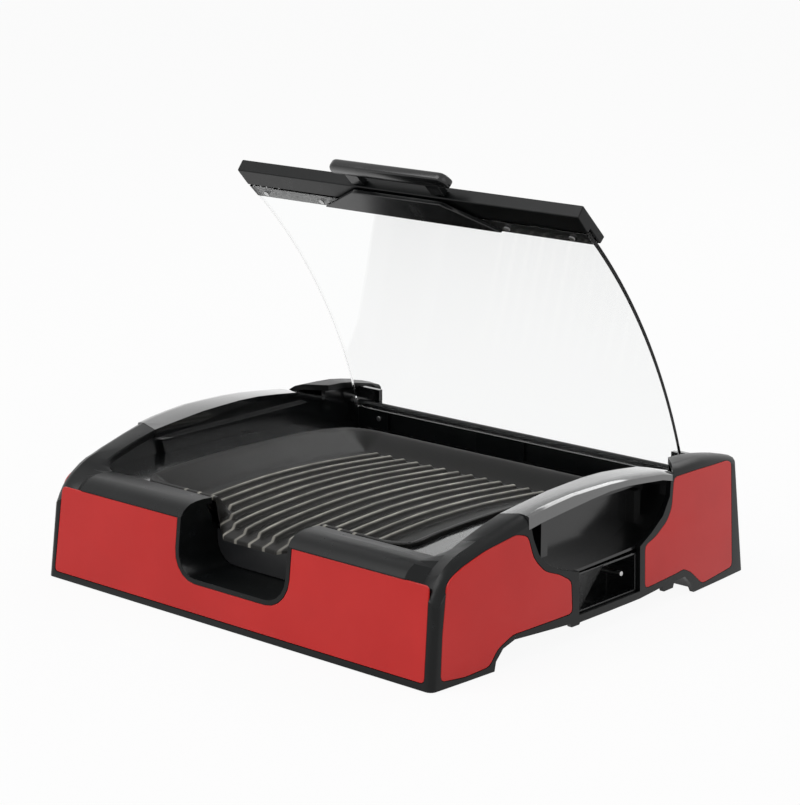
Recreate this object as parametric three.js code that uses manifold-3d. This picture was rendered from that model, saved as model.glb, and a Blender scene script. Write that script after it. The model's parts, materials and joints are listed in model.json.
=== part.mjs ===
// Table-top electric grill with a hinged curved glass lid.
// Millimetres, X to the right along the front, Y to the back, Z up.
// The origin is the centre of the footprint on the table.

import * as THREE from 'three';
import { mergeVertices } from 'three/addons/utils/BufferGeometryUtils.js';
import Module from 'manifold-3d';

const wasm = await Module();
wasm.setup();

// Overall body
const baseWidth = 420;
const baseDepth = 397;
const rimHeight = 118;
const sideBow = 7.5;
const sideLeanShare = 0.023;
const endLeanShare = 0.12;
const cornerRadius = 5.5;
const footClear = 0.8;

// General walls and clearances
const wall = 4;
const rimSkin = 5;
const seatGap = 0.3;
const panelThick = 1.9;
const panelGap = 0.3;
const panelSeat = 0.1;
const panelCorner = 4;
const overrun = 30;
const weldTolerance = 1e-4;
const arcSteps = 5;
const roundSteps = 16;
const planSteps = 12;
const leastRadius = 1;
const cornerReachShare = 0.45;
const halfWidth = baseWidth / 2;
const halfDepth = baseDepth / 2;

// Section of the side rim, measured inwards from the outer shoulder
const shoulderDrop = 8.5;
const rimStepA = 1.5;
const rimDropA = 4.2;
const rimStepB = 4.5;
const rimDropB = 1.4;
const rimStepC = 9;
const bridgeDropA = 1.2;
const bridgeDropB = 0.4;
const bridgeEdgeDrop = 2.2;

// Well: the opening inside the rims
const rimWidth = 22;
const rimWidthFront = 23;
const rearRimWidth = 15.5;
const rearNotchInset = 2;
const wellHalf = halfWidth - rimWidth;
const wellHalfFront = halfWidth - rimWidthFront;
const wellFrontShare = -0.781;
const wellWidenShare = -0.403;
const wellFront = wellFrontShare * halfDepth;
const wellRear = halfDepth - rearRimWidth;
const wellCorner = 12;
const rimBlend = 12;
const rearWallRise = 2;
const rearNotchHalf = wellHalf - rearNotchInset;

// Front U opening over which the lid handle comes down
const uHalf = 58.5;
const uBottom = 33;
const uCorner = 20;
const uWall = 3.2;
const uPanelGap = 4;
const uDepthShare = -0.725;
const cheekShares = [
  [-0.831, 0.763], [-0.806, 0.678], [-0.781, 0.61], [-0.756, 0.551], [-0.725, 0.483],
  [-0.604, 0.483], [-0.604, 1.1], [-0.831, 1.1],
];

// Slot under the right-hand bowl for the mains socket
const socketCentre = 9;
const socketSlotCentre = 5;
const socketSlotHalf = 39;
const socketTopGap = 0.9;
const socketInset = 10;
const socketBlockInner = wellHalf - socketInset;
const socketBack = 8;
const socketFaceInset = 3;
const socketMouthHalf = 36;
const socketMouthWall = 1.6;
const pinSpacing = 40;
const pinDrop = 15.2;
const pinRadius = 2.1;
const pinHoleRadius = 2.5;
const pinInset = 0.5;
const pinOuter = halfWidth - pinInset;

// Profiles seen from the side: shares of the half depth and of the rim height
const crestShares = [
  [-1.028, 0.475], [-0.957, 0.568], [-0.937, 0.627], [-0.917, 0.674], [-0.897, 0.708],
  [-0.866, 0.75], [-0.831, 0.784], [-0.796, 0.809], [-0.756, 0.826], [-0.705, 0.852],
  [-0.655, 0.873], [-0.579, 0.907], [-0.484, 0.945], [-0.393, 0.97], [-0.307, 0.986],
  [-0.202, 1.0], [-0.091, 1.0], [0.025, 0.997], [0.141, 0.986], [0.252, 0.966], [0.378, 0.949],
  [0.443, 0.943], [0.504, 0.943], [0.594, 0.941], [0.675, 0.935], [0.746, 0.919],
  [0.816, 0.898], [0.887, 0.873], [0.947, 0.843], [1.028, 0.797],
];
const innerDropShares = [
  [-1.028, 0.034], [-0.8, 0.033], [-0.738, 0.025], [-0.682, 0.02], [-0.602, 0.016],
  [-0.487, 0.02], [-0.371, 0.03], [-0.277, 0.03], [-0.157, 0.025], [-0.036, 0.015],
  [0.087, 0.008], [0.212, 0.004], [0.468, 0.004], [0.6, 0.012], [1.028, 0.007],
];
const levelShares = [[-1.028, 0], [1.028, 0]];
const bridgeSagShares = [
  [-1.028, 0], [0.252, 0], [0.378, 0.008], [0.443, 0.03], [0.52, 0.062], [0.604, 0.098], [1.028, 0.098],
];
const bridgeSkinShares = [
  [-1.028, 0.082], [-0.222, 0.08], [-0.101, 0.062], [0.025, 0.046], [0.156, 0.04], [1.028, 0.04],
];
const frontTopShares = [
  [-1.028, 0.492], [-0.957, 0.653], [-0.937, 0.699], [-0.917, 0.722], [-0.897, 0.736],
  [-0.866, 0.744], [-0.831, 0.746], [-0.796, 0.742], [-0.756, 0.737], [1.028, 0.737],
];
const wellEdgeShares = [
  [-0.882, 0.729], [-0.806, 0.733], [-0.705, 0.746], [-0.564, 0.763], [-0.403, 0.771],
  [-0.207, 0.773], [0, 0.765], [0.166, 0.754], [0.302, 0.737], [0.393, 0.72],
  [0.479, 0.699], [0.564, 0.674], [0.63, 0.653],
];
const ribTopShares = [
  [-0.882, 0.577], [-0.806, 0.605], [-0.756, 0.622], [-0.66, 0.642], [-0.554, 0.655],
  [-0.453, 0.665], [-0.302, 0.675], [-0.136, 0.671], [0, 0.663], [0.086, 0.653],
  [0.202, 0.637], [0.302, 0.623], [0.378, 0.61], [0.605, 0.576],
];
const bowlShares = [
  [-0.456, 0.898], [-0.438, 0.78], [-0.408, 0.669], [-0.363, 0.585], [-0.287, 0.525],
  [-0.184, 0.469], [0.222, 0.483], [0.302, 0.551], [0.38, 0.636], [0.428, 0.754],
  [0.438, 0.898],
];
const recessShares = [
  [-0.446, 0.83], [-0.438, 0.78], [-0.408, 0.669], [-0.363, 0.585], [-0.287, 0.525],
  [-0.184, 0.469], [0.222, 0.483], [0.302, 0.551], [0.38, 0.636], [0.428, 0.754],
  [0.433, 0.83],
];
const bridgeEndShares = [-0.482, -0.452, 0.354, 0.588];
const bridgeReach = 42;
const sidePanelFrontShares = [
  [-0.948, 0.06], [-0.934, 0.356], [-0.911, 0.62], [-0.898, 0.668], [-0.87, 0.704],
  [-0.816, 0.746], [-0.7, 0.801], [-0.534, 0.847], [-0.469, 0.814], [-0.438, 0.661],
  [-0.403, 0.593], [-0.368, 0.542], [-0.287, 0.492], [-0.217, 0.424], [-0.212, 0.203],
  [-0.559, 0.203], [-0.645, 0.144], [-0.69, 0.05], [-0.821, 0.038],
];
const sidePanelRearShares = [
  [0.458, 0.872], [0.625, 0.866], [0.866, 0.844], [0.894, 0.822], [0.905, 0.068],
  [0.67, 0.042], [0.584, 0.161], [0.529, 0.203], [0.494, 0.195], [0.257, 0.178],
  [0.257, 0.475], [0.327, 0.508], [0.408, 0.585], [0.443, 0.669],
];
const notchShares = [
  [-0.67, -0.034], [-0.655, 0.068], [-0.615, 0.136], [-0.549, 0.169], [-0.227, 0.136],
  [-0.217, 0.11], [-0.171, 0.11], [-0.166, 0.123], [0.222, 0.123], [0.378, 0.14],
  [0.388, 0.102], [0.453, 0.102], [0.463, 0.144], [0.539, 0.144], [0.579, 0.085],
  [0.62, -0.034],
];

// Side panels start this far out, short of the front panel
const sidePanelNearShare = 0.98;

// Front panel: shares of the half width and of the rim height
const frontPanelShares = [[-0.964, 0.052], [0.964, 0.052], [0.95, 0.655], [-0.95, 0.655]];

// Hand recesses behind the bowls
const recessTallShares = [
  [-0.452, 0.97], [-0.446, 0.83], [-0.438, 0.78], [-0.408, 0.669], [-0.363, 0.585], [-0.287, 0.525],
  [-0.184, 0.469], [0.222, 0.483], [0.302, 0.551], [0.38, 0.636], [0.428, 0.754], [0.433, 0.83],
  [0.437, 0.97],
];
const recessWall = 2.2;
const recessInset = 4;
const recessBack = wellHalf - recessInset;
const recessBackThick = 2.4;
const recessRibHalf = 59;
const recessRibWidth = 8;
const recessRibReach = 8;
const recessRibRise = 10.7;
const recessRibDrop = 24;
const recessLow = Math.min(...recessShares.map(([, share]) => share)) * rimHeight;
const recessRibBottom = recessLow + recessRibRise;
const recessRibTop = rimHeight - recessRibDrop;
const socketBlockTop = recessLow - recessWall - socketTopGap;
const pinHeight = socketBlockTop - pinDrop;

// Inner deck: ledge, well wall and rear trough
const deckOutset = 2;
const deckHalf = wellHalf + deckOutset;
const deckWall = 2.2;
const deckFront = wellFront - seatGap;
const deckSkin = 2.4;
const ledgeCorner = 11;
const troughLength = 66.2;
const troughInset = 3;
const troughRear = wellRear - troughInset;
const troughFront = troughRear - troughLength;
const pivotDrop = 30.5;
const lidPivotZ = rimHeight - pivotDrop;
const troughDrop = 13.5;
const troughDeep = 14;
const troughTop = lidPivotZ - troughDrop;
const troughFloor = troughTop - troughDeep;
const rearWallHeight = troughTop + rearWallRise;
const bossReach = 9;
const bossOuter = deckHalf + bossReach;
const bossHalf = 7.5;
const tabReach = 27.5;
const tabInner = deckHalf - tabReach;
const tabBehindPivot = 2.4;
const tabThick = 4.2;
const tabRise = 4.8;
const tabTall = 10.2;
const tabBottom = lidPivotZ + tabRise;
const tabTop = tabBottom + tabTall;

// Cooking plate
const ledgeWidth = 43;
const plateHalf = wellHalf - ledgeWidth;
const ledgeFrontWidth = 2.8;
const plateFront = deckFront + ledgeFrontWidth;
const plateRearGap = 1.8;
const plateRear = troughFront - plateRearGap;
const plateCorner = 20;
const plateBorderShares = [0.25, 0.5, 0.75, 1];
const plateSkin = 3;
const plateRimWidth = 3;
const plateSideSlope = 33;
const plateRearSlope = 27;
const plateFrontSlope = 16.5;
const plateFootHalf = plateHalf - plateSideSlope;
const plateFootRear = plateRear - plateRearSlope;
const plateFootFront = plateFront + plateFrontSlope;
const lipSideGap = 5.5;
const lipHalf = uHalf - lipSideGap;
const lipTipHalf = 28.5;
const lipFade = 4;
const lipReach = 19.5;
const lipBreakReach = 10;
const lipFront = plateFront - lipReach;
const lipBreak = lipFront + lipBreakReach;
const lipDrop = 2.6;
const ribCount = 13;
const ribSideInset = 19.9;
const ribPitch = (2 * (plateFootHalf - ribSideInset)) / (ribCount - 1);
const ribBase = 6.6;
const ribCrown = 2.6;
const ribHeight = 3.8;
const lipTip = curveAt(ribTopShares, lipBreak) - ribHeight - lipDrop;
const ribEndRun = 1.8;
const ribEndGap = 5;
const ribRear = plateFootRear - ribEndGap;
const ribFrontOpen = lipBreak - 2 * seatGap;
const ribFrontShut = plateFootFront + ribEndRun;

// Heat reflector tub and drip tray
const tubInset = 9;
const tubFrontInset = 11.5;
const tubRearInset = 6;
const tubHalf = plateHalf - tubInset;
const tubFront = plateFront + tubFrontInset;
const tubRear = plateRear - tubRearInset;
const tubWall = 1.2;
const tubFloor = 26;
const tubTopGap = 4.4;
const tubCorner = 14;
const tubFootHalf = 6;
const tubFootInset = 24;
const trayInset = 8.5;
const trayGap = 0.6;
const trayHalf = uHalf - trayInset;
const trayReach = 8;
const trayRearInset = 16;
const trayFront = tubFront - trayReach;
const trayRear = tubRear - trayRearInset;
const trayWall = 1.4;
const trayBottom = uBottom + trayGap;
const trayDepthShare = 0.4;
const trayCorner = 8;
const trayFaceThick = 2.2;
const trayFaceGap = 1;
const trayFaceTop = lipTip - plateSkin - trayFaceGap;
const traySideGap = 3;
const railWidth = 6;

// Heating element
const elementRadius = 3.2;
const elementSideInset = 28;
const elementFrontInset = 29;
const elementRearInset = 24;
const elementHalf = tubHalf - elementSideInset;
const elementFront = tubFront + elementFrontInset;
const elementRear = tubRear - elementRearInset;
const elementRiseShare = 0.65;
const plateUnder = curveAt(ribTopShares, elementRear) - ribHeight - plateSkin;
const tubTop = plateUnder - tubTopGap;
const trayTop = THREE.MathUtils.lerp(trayBottom, plateUnder, trayDepthShare);
const elementLow = trayTop + elementRadius;
const elementHigh = plateUnder - elementRadius;
const elementHeight = THREE.MathUtils.lerp(elementLow, elementHigh, elementRiseShare);
const elementBend = 30;
const elementSides = 8;
const elementSteps = 96;
const elementEndGap = 2;
const elementEnd = socketBlockInner - elementEndGap;
const elementHole = 5.5;
const bracketY = 46;
const bracketShift = -14;
const bracketWidth = 12;
const bracketThick = 1.5;

// Bottom cover, feet and screws
const coverThick = 2.2;
const coverFoot = 1.6;
const coverDeck = 18;
const socketSlotBottom = coverDeck + coverThick + seatGap;
const socketBlockBottom = socketSlotBottom + seatGap;
const coverShares = [
  [-0.962, 0], [-0.695, 0], [-0.675, 0.43], [-0.635, 0.85], [-0.594, 1],
  [0.564, 1], [0.61, 0.5], [0.635, 0], [0.922, 0],
];
const footRadius = 9;
const footInset = 24;
const footFrontInset = 30.5;
const footRearInset = 44.5;
const footX = halfWidth - footInset;
const footFront = -halfDepth + footFrontInset;
const footRear = halfDepth - footRearInset;
const ventCount = 8;
const ventPitch = 22;
const ventWidth = 4;
const ventLength = 40;
const ventRow = 50;
const coverScrewInset = 60;
const coverScrewX = halfWidth - coverScrewInset;
const coverScrewY = 70;
const coverScrewRadius = 3.2;
const coverScrewHead = 1.4;

// Lid: a curved pane from the hinge bar to the strip with the handle
const pivotInset = 23.8;
const lidPivotY = troughRear - pivotInset;
const tabFront = lidPivotY + tabBehindPivot;
const hingeRadius = 4;
const hingeBarGap = 4;
const hingeBarHalf = wellHalf - hingeBarGap;
const hingeLegDrop = 20.5;
const hingeLegBottom = lidPivotZ - hingeLegDrop;
const hingePinRadius = 2.4;
const hingePinHole = 2.8;
const hingePinInset = 2.5;
const hingePinEnd = bossOuter - hingePinInset;
const glassRadius = 489.2;
const glassChord = 258.1;
const glassChordAngle = THREE.MathUtils.degToRad(121.59);
const glassThick = 4;
const glassSideGap = 7;
const glassHalf = wellHalf - glassSideGap;
const glassLowDrop = 1.5;
const glassBarGap = 0.4;
const glassOuterRadius = glassRadius + glassThick / 2;
const glassFootY = lidPivotY - hingeRadius - glassBarGap - glassThick / 2;
const glassFootZ = lidPivotZ - glassLowDrop;
const glassTipY = glassFootY + glassChord * Math.cos(glassChordAngle);
const glassTipZ = glassFootZ + glassChord * Math.sin(glassChordAngle);
const glassCentreDepth = Math.sqrt(glassRadius ** 2 - (glassChord / 2) ** 2);
const glassCentreY = (glassFootY + glassTipY) / 2 - glassCentreDepth * Math.sin(glassChordAngle);
const glassCentreZ = (glassFootZ + glassTipZ) / 2 + glassCentreDepth * Math.cos(glassChordAngle);
const stripLean = THREE.MathUtils.degToRad(1.886);
const stripAngle = glassChordAngle + Math.asin(glassChord / (2 * glassRadius)) - stripLean;
const slopeY = Math.cos(stripAngle);
const slopeZ = Math.sin(stripAngle);
const glassEnd = (glassTipY - lidPivotY) * slopeY + (glassTipZ - lidPivotZ) * slopeZ;
const glassEndTop = (glassTipY - lidPivotY) * slopeZ - (glassTipZ - lidPivotZ) * slopeY + glassThick / 2;
const glassSteps = 14;
const stripOverhang = 1.5;
const stripHalf = glassHalf + stripOverhang;
const rabbetGap = 0.6;
const rabbetRise = 0.8;
const rabbetDepth = 4.4;
const rabbetFront = glassEnd + rabbetGap;
const rabbetTop = glassEndTop + rabbetRise;
const stripBehindGlass = 18.2;
const stripDeep = 38.9;
const stripThick = 11.5;
const stripFrontRise = 0.9;
const stripFrontLean = 1.4;
const stripRear = glassEnd - stripBehindGlass;
const stripFront = stripRear + stripDeep;
const stripUnder = rabbetTop - rabbetDepth;
const stripTop = stripUnder + stripThick;
const stripUnderFront = stripUnder + stripFrontRise;
const stripLipFront = stripFront - stripFrontLean;
const blockFrontHalf = 47;
const blockRearHalf = 95;
const blockFrontInset = 2.6;
const blockRearInset = 9;
const blockGap = 0.8;
const blockThick = 4;
const blockFront = stripFront - blockFrontInset;
const blockRear = stripRear + blockRearInset;
const blockTop = stripUnder - blockGap;
const blockUnder = blockTop - blockThick;
const handleGap = 11.9;
const handleDeep = 12.5;
const handleRise = 1;
const handleThick = 8;
const handleRear = stripFront + handleGap;
const handleFront = handleRear + handleDeep;
const handleUnder = stripUnder + handleRise;
const handleTop = handleUnder + handleThick;
const handleCorner = 6;
const handleHalfFront = 60;
const handleFlare = 5;
const handleHalfRear = handleHalfFront + handleFlare;
const handleBevel = 2;
const armInner = 36;
const armOuter = 50;
const armInset = 1;
const armUnder = handleUnder + armInset;
const armTop = handleTop - armInset;
const stripScrewInset = 18.5;
const stripScrewOuter = stripHalf - stripScrewInset;
const stripScrewBehind = 11.3;
const stripScrewAt = stripRear + stripScrewBehind;
const stripScrewGap = 8.7;
const stripScrewInner = stripScrewGap
  + THREE.MathUtils.mapLinear(stripScrewAt, blockRear, blockFront, blockRearHalf, blockFrontHalf);
const stripScrewRadius = 2.6;
const screwHead = 1.4;
const coverPlateThick = 2.6;
const coverPlateDrop = 1.9;
const coverPlateTop = lidPivotZ - coverPlateDrop;
const coverPlateNarrow = 5;
const coverPlateMidLeft = -42;
const coverPlateMidRight = 13;
const barScrewInset = 26;
const barScrewX = hingeBarHalf - barScrewInset;
const coverPlateGap = 8;
const coverPlateLeft = coverPlateGap - barScrewX;
const barScrewDrop = 10.5;
const barScrewZ = lidPivotZ - barScrewDrop;
const barScrewRadius = 2.3;

const sidePanelNear = sidePanelNearShare * halfWidth;

const colours = {
  matte: { color: 0x2c2f30, roughness: 0.62, metalness: 0 },
  gloss: { color: 0x141516, roughness: 0.16, metalness: 0 },
  red: { color: 0xad2f2b, roughness: 0.22, metalness: 0 },
  coating: { color: 0x3c3b37, roughness: 0.55, metalness: 0.1 },
  glass: { color: 0xdfeae6, roughness: 0.05, metalness: 0, transparent: true, opacity: 0.25 },
  steel: { color: 0xb9bbbd, roughness: 0.35, metalness: 1 },
  tray: { color: 0x303234, roughness: 0.4, metalness: 0.3 },
  heater: { color: 0x55504b, roughness: 0.5, metalness: 0.8 },
  rubber: { color: 0x1a1a1a, roughness: 0.9, metalness: 0 },
};

const grill = new THREE.Group();

// Curves and outlines

function curveAt(shares, y) {
  const at = y / halfDepth;
  let value = shares[0][1];
  for (let i = 1; i < shares.length; i += 1) {
    const [a, va] = shares[i - 1];
    const [b, vb] = shares[i];
    if (at >= b) {
      value = vb;
    } else if (at >= a) {
      value = va + ((vb - va) * (at - a)) / (b - a);
      break;
    }
  }
  return value * rimHeight;
}

function sideOutline(shares) {
  return shares.map(([y, z]) => [y * halfDepth, z * rimHeight]);
}

// Moves every edge of a closed outline outwards by the same distance.
function grow(points, distance) {
  const turn = Math.sign(THREE.ShapeUtils.area(points.map(([a, b]) => new THREE.Vector2(a, b))));
  return points.map(([a, b], i) => {
    const [pa, pb] = points[(i + points.length - 1) % points.length];
    const [na, nb] = points[(i + 1) % points.length];
    const before = new THREE.Vector2(b - pb, pa - a).normalize();
    const after = new THREE.Vector2(nb - b, a - na).normalize();
    const mitre = before.clone().add(after);
    mitre.multiplyScalar((turn * distance * 2) / mitre.lengthSq());
    return [a + mitre.x, b + mitre.y];
  });
}

// Replaces each corner of a closed outline by a small curve.
function softened(points, radius, steps = arcSteps) {
  const out = [];
  points.forEach(([a, b], i) => {
    const here = new THREE.Vector2(a, b);
    const prev = new THREE.Vector2(...points[(i + points.length - 1) % points.length]);
    const next = new THREE.Vector2(...points[(i + 1) % points.length]);
    const room = cornerReachShare * Math.min(here.distanceTo(prev), here.distanceTo(next));
    const reach = Math.min(radius, room);
    const from = here.clone().add(prev.sub(here).setLength(reach));
    const to = here.clone().add(next.sub(here).setLength(reach));
    const bend = new THREE.QuadraticBezierCurve(from, here, to);
    bend.getPoints(steps).forEach((p) => out.push([p.x, p.y]));
  });
  return out;
}

function box2(a0, a1, b0, b1) {
  return [[a0, b0], [a1, b0], [a1, b1], [a0, b1]];
}

// U outline with round lower corners, in X and Z.
function uOutline(half, bottom, radius, top) {
  const points = [[-half, top]];
  for (let i = 0; i <= arcSteps; i += 1) {
    const angle = Math.PI + (Math.PI / 2) * (i / arcSteps);
    points.push([-half + radius + radius * Math.cos(angle), bottom + radius + radius * Math.sin(angle)]);
  }
  for (let i = 0; i <= arcSteps; i += 1) {
    const angle = -Math.PI / 2 + (Math.PI / 2) * (i / arcSteps);
    points.push([half - radius + radius * Math.cos(angle), bottom + radius + radius * Math.sin(angle)]);
  }
  points.push([half, top]);
  return points;
}

// Extrusions along the three axes

function flatShape(points) {
  return new THREE.Shape(points.map(([a, b]) => new THREE.Vector2(a, b)));
}

function extruded(points, depth) {
  return new THREE.ExtrudeGeometry(flatShape(points), { depth, bevelEnabled: false });
}

function alongZ(points, low, high) {
  return extruded(points, high - low).translate(0, 0, low);
}

function alongX(points, low, high) {
  const basis = new THREE.Matrix4().makeBasis(
    new THREE.Vector3(0, 1, 0), new THREE.Vector3(0, 0, 1), new THREE.Vector3(1, 0, 0),
  );
  return extruded(points, high - low).applyMatrix4(basis).translate(low, 0, 0);
}

function alongY(points, low, high) {
  const basis = new THREE.Matrix4().makeBasis(
    new THREE.Vector3(1, 0, 0), new THREE.Vector3(0, 0, 1), new THREE.Vector3(0, -1, 0),
  );
  return extruded(points, high - low).applyMatrix4(basis).translate(0, high, 0);
}

function block(x0, x1, y0, y1, z0, z1) {
  const geometry = new THREE.BoxGeometry(x1 - x0, y1 - y0, z1 - z0);
  return geometry.translate((x0 + x1) / 2, (y0 + y1) / 2, (z0 + z1) / 2);
}

function rodZ(radius, x, y, low, high) {
  const geometry = new THREE.CylinderGeometry(radius, radius, high - low, roundSteps);
  return geometry.rotateX(Math.PI / 2).translate(x, y, (low + high) / 2);
}

function rodX(radius, low, high, y, z) {
  const geometry = new THREE.CylinderGeometry(radius, radius, high - low, roundSteps);
  return geometry.rotateZ(Math.PI / 2).translate((low + high) / 2, y, z);
}

function rodY(radius, x, low, high, z) {
  const geometry = new THREE.CylinderGeometry(radius, radius, high - low, roundSteps);
  return geometry.translate(x, (low + high) / 2, z);
}

// Block whose grid lines stand at given places, with a shaped top and bottom.
function gridBlock(linesAt, ys, top, bottom) {
  const count = linesAt(ys[0]).length;
  const geometry = new THREE.BoxGeometry(1, 1, 1, count - 1, ys.length - 1, 1);
  const place = geometry.attributes.position;
  for (let i = 0; i < place.count; i += 1) {
    const column = Math.round((place.getX(i) + 0.5) * (count - 1));
    const y = ys[Math.round((place.getY(i) + 0.5) * (ys.length - 1))];
    const x = linesAt(y)[column];
    place.setXYZ(i, x, y, place.getZ(i) > 0 ? top(x, y, column) : bottom(x, y, column));
  }
  return geometry;
}

// Solids

function solid(geometry) {
  const bare = geometry.clone();
  bare.deleteAttribute('normal');
  bare.deleteAttribute('uv');
  const welded = mergeVertices(bare, weldTolerance);
  return new wasm.Manifold(new wasm.Mesh({
    numProp: 3,
    vertProperties: new Float32Array(welded.attributes.position.array),
    triVerts: new Uint32Array(welded.index.array),
  }));
}

function geometryOf(body) {
  const mesh = body.getMesh();
  const stride = mesh.numProp;
  const points = new Float32Array((mesh.vertProperties.length / stride) * 3);
  for (let i = 0; i < points.length / 3; i += 1) {
    points.set(mesh.vertProperties.subarray(i * stride, i * stride + 3), i * 3);
  }
  const geometry = new THREE.BufferGeometry();
  geometry.setAttribute('position', new THREE.BufferAttribute(points, 3));
  geometry.setIndex(new THREE.BufferAttribute(new Uint32Array(mesh.triVerts), 1));
  geometry.computeVertexNormals();
  return geometry;
}

function addPiece(name, shape, look) {
  const geometry = shape instanceof THREE.BufferGeometry ? shape : geometryOf(shape);
  const mesh = new THREE.Mesh(geometry, new THREE.MeshStandardMaterial(colours[look]));
  mesh.name = name;
  grill.add(mesh);
}

// Outer body: bowed sides, leaning walls, moved inwards by an inset

function bowAt(y) {
  return sideBow * (1 - (y / halfDepth) ** 2);
}

function planOutline(inset) {
  const right = [];
  const radius = Math.max(cornerRadius - inset, leastRadius);
  const reachY = halfDepth - inset;
  const straight = reachY - radius;
  const cornerX = halfWidth - inset - radius;
  for (let i = 0; i <= arcSteps; i += 1) {
    const angle = -Math.PI / 2 + (Math.PI / 2) * (i / arcSteps);
    const out = radius * Math.cos(angle);
    right.push([cornerX + bowAt(straight) + out, -straight + radius * Math.sin(angle)]);
  }
  for (let i = 1; i < planSteps; i += 1) {
    const y = -straight + (2 * straight * i) / planSteps;
    right.push([halfWidth - inset + bowAt(y), y]);
  }
  for (let i = 0; i <= arcSteps; i += 1) {
    const angle = (Math.PI / 2) * (i / arcSteps);
    const out = radius * Math.cos(angle);
    right.push([cornerX + bowAt(straight) + out, straight + radius * Math.sin(angle)]);
  }
  const left = right.map(([x, y]) => [-x, y]).reverse();
  return [...right, ...left];
}

const bodyLow = -overrun;
const bodyHigh = rimHeight + overrun;

function leaningBody(inset) {
  const geometry = alongZ(planOutline(inset), bodyLow, bodyHigh);
  const place = geometry.attributes.position;
  for (let i = 0; i < place.count; i += 1) {
    const z = place.getZ(i);
    const x = place.getX(i) * (1 - (sideLeanShare * z) / halfWidth);
    const y = place.getY(i) * (1 - (endLeanShare * z) / halfDepth);
    place.setXY(i, x, y);
  }
  return solid(geometry);
}

// Grid lines across the body: rim section on both sides, flat between
function rimLines(y) {
  const edge = halfWidth + bowAt(y) - sideLeanShare * rimHeight;
  const right = [
    0, wellHalf - rimBlend, wellHalf, edge - rimStepC, edge - rimStepB, edge - rimStepA, edge, edge + overrun,
  ];
  return [...right.slice(1).map((x) => -x).reverse(), ...right];
}

const rimYs = crestShares.map(([y]) => y * halfDepth);

const rimShape = { sagShares: levelShares, outerDrops: [rimDropB, rimDropA, shoulderDrop] };
const bridgeShape = { sagShares: bridgeSagShares, outerDrops: [bridgeDropB, bridgeDropA, bridgeEdgeDrop] };

function rimTop({ sagShares, outerDrops }) {
  return (x, y, column) => {
    const crest = curveAt(crestShares, y) - curveAt(sagShares, y);
    const drops = [0, 0, curveAt(innerDropShares, y), 0, ...outerDrops, outerDrops[2]];
    const middle = drops.length - 1;
    const line = Math.abs(column - middle);
    return line < 2 ? curveAt(frontTopShares, y) : crest - drops[line];
  };
}

// Rim surface lowered by an amount, for skins and for what fits under them
function rimSolid(shape, loweredAt) {
  const top = rimTop(shape);
  return solid(gridBlock(
    rimLines, rimYs, (x, y, column) => top(x, y, column) - loweredAt(y), () => bodyLow / 2,
  ));
}

function bridgeSkinAt(y) {
  return curveAt(bridgeSkinShares, y);
}

function sideSpan(side, near, far) {
  return side > 0 ? [near, far] : [-far, -near];
}

function sidePrism(points, side, near, far) {
  return solid(alongX(points, ...sideSpan(side, near, far)));
}

const sides = [['right', 1], ['left', -1]];
const sideFar = halfWidth + overrun;
const bodySkin = leaningBody(0);
const bodyLining = leaningBody(wall + seatGap);
const rimUnder = rimSolid(rimShape, () => rimSkin + seatGap);
const bridgeUnder = rimSolid(bridgeShape, (y) => bridgeSkinAt(y) + seatGap);

// Shared outlines
const wellPlan = softened([
  [-wellHalfFront, wellFront], [wellHalfFront, wellFront],
  [wellHalf, wellWidenShare * halfDepth], [wellHalf, wellRear],
  [-wellHalf, wellRear], [-wellHalf, wellWidenShare * halfDepth],
], wellCorner);
const wellColumn = solid(alongZ(grow(wellPlan, -seatGap), 0, bodyHigh));
const recessOutline = sideOutline(recessShares);
const tallOutline = sideOutline(recessTallShares);
const plateOutline = softened(box2(-plateHalf, plateHalf, plateFront, plateRear), plateCorner);
const uTop = bodyHigh;

const bridgeEnds = bridgeEndShares.map((share) => share * halfDepth);
const bridgeY0 = bridgeEnds[0];
const bridgeY1 = bridgeEnds[3];

function bridgePlan(side) {
  const reaches = [0, bridgeReach, bridgeReach, 0];
  return bridgeEnds.map((y, i) => [side * (wellHalf + reaches[i]), y]);
}

function sidePanelOutline(shares) {
  return softened(sideOutline(shares), panelCorner, 2);
}

const frontPanelOutline = softened(
  frontPanelShares.map(([x, z]) => [x * halfWidth, z * rimHeight]), panelCorner, 3,
);

function uPrism(extra, y0, y1) {
  return solid(alongY(uOutline(uHalf + extra, uBottom - extra, uCorner + extra, uTop), y0, y1));
}

const frontFar = -halfDepth - overrun;
const frontNear = uDepthShare * halfDepth;
const slotY0 = socketSlotCentre - socketSlotHalf;
const slotY1 = socketSlotCentre + socketSlotHalf;

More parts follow.
